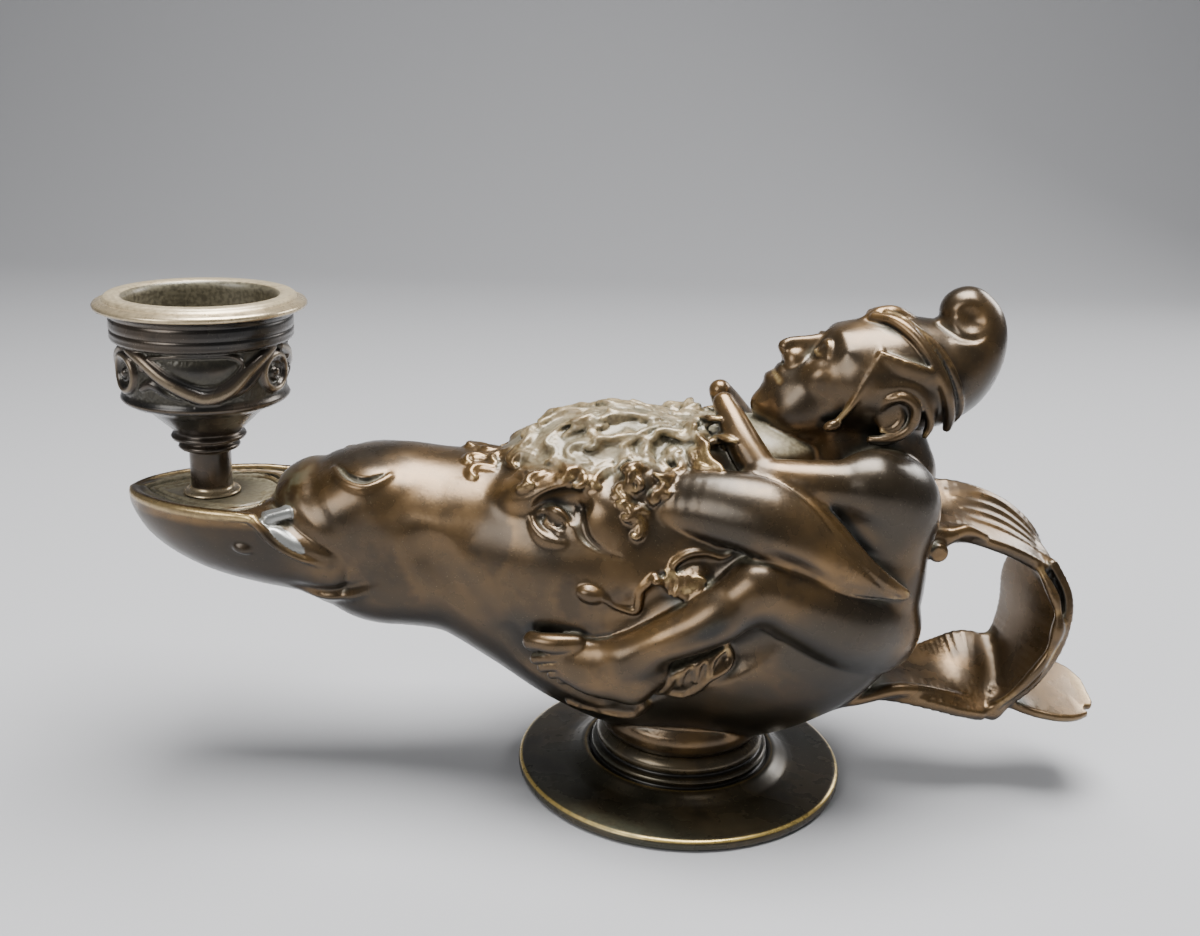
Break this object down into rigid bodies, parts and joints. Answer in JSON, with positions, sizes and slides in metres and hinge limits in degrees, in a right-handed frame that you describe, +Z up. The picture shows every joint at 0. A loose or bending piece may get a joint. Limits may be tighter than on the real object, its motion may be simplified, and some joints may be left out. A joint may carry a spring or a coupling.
{
  "type": "bronze oil lamp",
  "caption": "Bronze lamp shaped as an ass's head ridden by a man in a peaked cap, with a leaf strap handle, a round foot and a candle cup plugged into the open lower jaw.",
  "frame": {"origin": "centre of the foot's flat underside, on the surface that the lamp stands on", "axes": "+Z up, the muzzle and the candle cup towards -X, the handle towards +X, the lamp's long upright plane of symmetry at y = 0"},
  "size_m": [0.1635, 0.055, 0.0841],
  "materials": {
    "body_bronze": "brown bronze patina, satin, rubbed golden on the high places and dark in the hollows",
    "foot_bronze": "dark olive brown bronze patina with a brass yellow worn rim",
    "cup_bronze": "near black bronze patina with a pale worn lip"
  },
  "bodies": {
    "root": {"lamp_body": "body_bronze", "foot": "foot_bronze", "candle_cup": "cup_bronze"}
  },
  "joints": []
}
